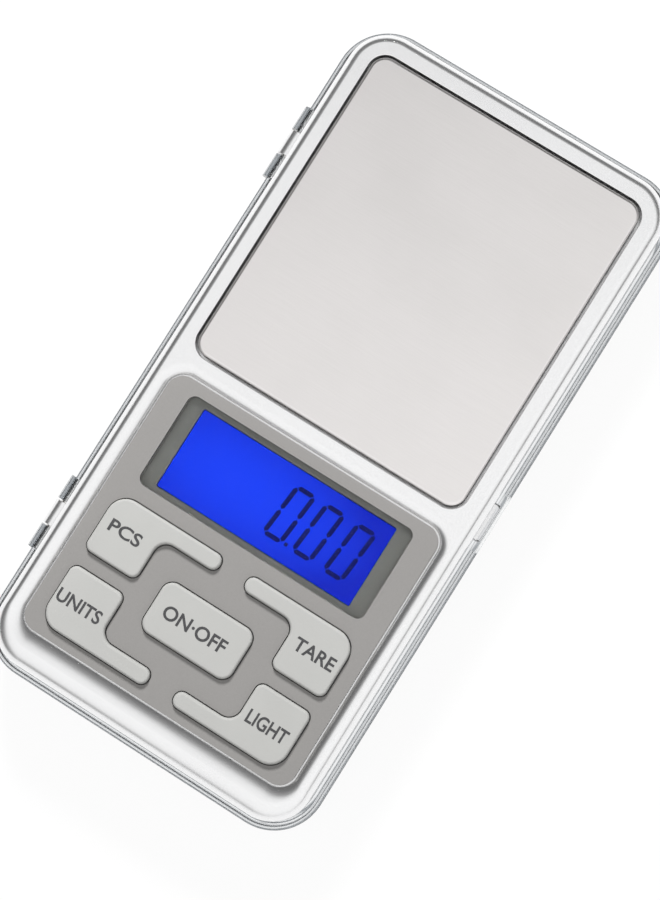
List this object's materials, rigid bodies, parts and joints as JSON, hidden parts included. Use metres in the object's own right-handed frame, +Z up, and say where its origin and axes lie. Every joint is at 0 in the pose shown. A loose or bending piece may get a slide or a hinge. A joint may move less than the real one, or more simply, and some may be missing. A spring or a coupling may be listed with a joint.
{
  "type": "digital gram scale",
  "caption": "Pocket scale with a square weighing platform, backlit display and keypad in a rounded case, hinged in a clear cover that serves as its stand.",
  "frame": {"origin": "middle of the flat underside of the clear cover, on the surface that the scale stands on", "axes": "+X to the right as the display is read, +Y from the keypad towards the platform, +Z up out of the platform"},
  "size_m": [0.064, 0.1248, 0.02],
  "materials": {
    "clear_plastic": "clear moulded polystyrene, polished",
    "silver_paint": "smooth silver coating on moulded plastic, satin to glossy",
    "panel_grey": "fine matt grey film",
    "key_grey": "soft matt light grey",
    "dark_grey": "matt",
    "black_plastic": "matt",
    "display_blue": "glowing blue behind glass",
    "stainless_plate": "finely brushed, satin",
    "steel": "nickel plated",
    "aluminium": "milled",
    "rubber": "matt",
    "board_green": "satin solder mask",
    "white_silicone": "satin",
    "battery_jacket": "glossy printed sleeve, plain"
  },
  "bodies": {
    "cover": {"cover_tray": "clear_plastic", "hinge_pin_front": "steel", "hinge_pin_rear": "steel"},
    "case": {"base_case": "silver_paint", "top_case": "silver_paint", "rubber_foot_1": "rubber", "rubber_foot_2": "rubber", "rubber_foot_3": "rubber", "rubber_foot_4": "rubber", "case_screw_1": "steel", "case_screw_2": "steel", "case_screw_3": "steel", "case_screw_4": "steel", "keypad_panel": "panel_grey", "key_pieces_dome": "steel", "key_units_dome": "steel", "key_power_dome": "steel", "key_tare_dome": "steel", "key_light_dome": "steel", "display_window": "clear_plastic", "display_frame": "dark_grey", "display_glass": "display_blue", "display_backlight": "display_blue", "circuit_board": "board_green", "board_screw_1": "steel", "board_screw_2": "steel", "board_screw_3": "steel", "board_screw_4": "steel", "processor": "black_plastic", "converter_chip": "black_plastic", "crystal": "steel", "battery_1": "battery_jacket", "battery_2": "battery_jacket", "contact_plate_left": "steel", "contact_plate_right": "steel", "contact_spring_left": "steel", "contact_spring_right": "steel", "load_cell": "aluminium", "gauge_coating": "white_silicone", "load_cell_screw_1": "steel", "load_cell_screw_2": "steel", "signal_ribbon": "black_plastic"},
    "platform": {"platform_plate": "stainless_plate", "platform_carrier": "black_plastic", "platform_screw_1": "steel", "platform_screw_2": "steel"},
    "pieces_button": {"key_pieces": "key_grey"},
    "units_button": {"key_units": "key_grey"},
    "power_button": {"key_power": "key_grey"},
    "tare_button": {"key_tare": "key_grey"},
    "light_button": {"key_light": "key_grey"},
    "door": {"battery_door": "silver_paint"}
  },
  "joints": [
    {"name": "case_hinge", "type": "hinge", "parent": "cover", "child": "case", "pos_m": [-0.0309, 0, 0.0113], "axis": [0, -1, 0], "range_deg": [0, 180]},
    {"name": "platform_press", "type": "slide", "parent": "case", "child": "platform", "axis": [0, 0, -1], "range_m": [0, 0.0004], "stiffness_N_per_m": 8000, "deforming": ["load_cell"]},
    {"name": "pieces_press", "type": "slide", "parent": "case", "child": "pieces_button", "axis": [0, 0, -1], "range_m": [0, 0.0006], "stiffness_N_per_m": 1500},
    {"name": "units_press", "type": "slide", "parent": "case", "child": "units_button", "axis": [0, 0, -1], "range_m": [0, 0.0006], "stiffness_N_per_m": 1500},
    {"name": "power_press", "type": "slide", "parent": "case", "child": "power_button", "axis": [0, 0, -1], "range_m": [0, 0.0006], "stiffness_N_per_m": 1500},
    {"name": "tare_press", "type": "slide", "parent": "case", "child": "tare_button", "axis": [0, 0, -1], "range_m": [0, 0.0006], "stiffness_N_per_m": 1500},
    {"name": "light_press", "type": "slide", "parent": "case", "child": "light_button", "axis": [0, 0, -1], "range_m": [0, 0.0006], "stiffness_N_per_m": 1500},
    {"name": "battery_door_release", "type": "slide", "parent": "case", "child": "door", "axis": [0, 0, -1], "range_m": [0, 0.0015]}
  ]
}
